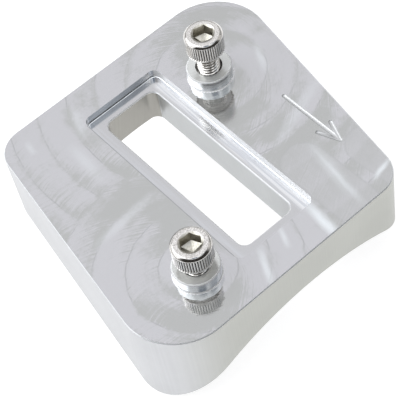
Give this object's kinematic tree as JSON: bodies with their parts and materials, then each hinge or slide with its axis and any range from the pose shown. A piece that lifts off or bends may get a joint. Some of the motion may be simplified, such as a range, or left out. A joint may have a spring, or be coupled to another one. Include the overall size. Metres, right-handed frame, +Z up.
{
  "type": "machined mounting block",
  "caption": "Saddle-bottomed machined aluminium mounting block with a stepped window, tapped round bosses, cap screws and an engraved direction arrow.",
  "frame": {"origin": "under the middle of the window, level with the lowest points of the block's two deepest corners", "axes": "+Z up, square to the top face; +Y along the window, the saddle's axis and the arrow, the way the arrow points; +X across the window towards the front screw"},
  "size_m": [0.0854, 0.0808, 0.0442],
  "materials": {
    "milled_aluminium": "bright milled, with overlapping cutter swirls",
    "screw_steel": "bright, knurled head"
  },
  "bodies": {
    "root": {"mounting_block": "milled_aluminium", "cap_screw_front": "screw_steel", "cap_screw_rear": "screw_steel"}
  },
  "joints": []
}
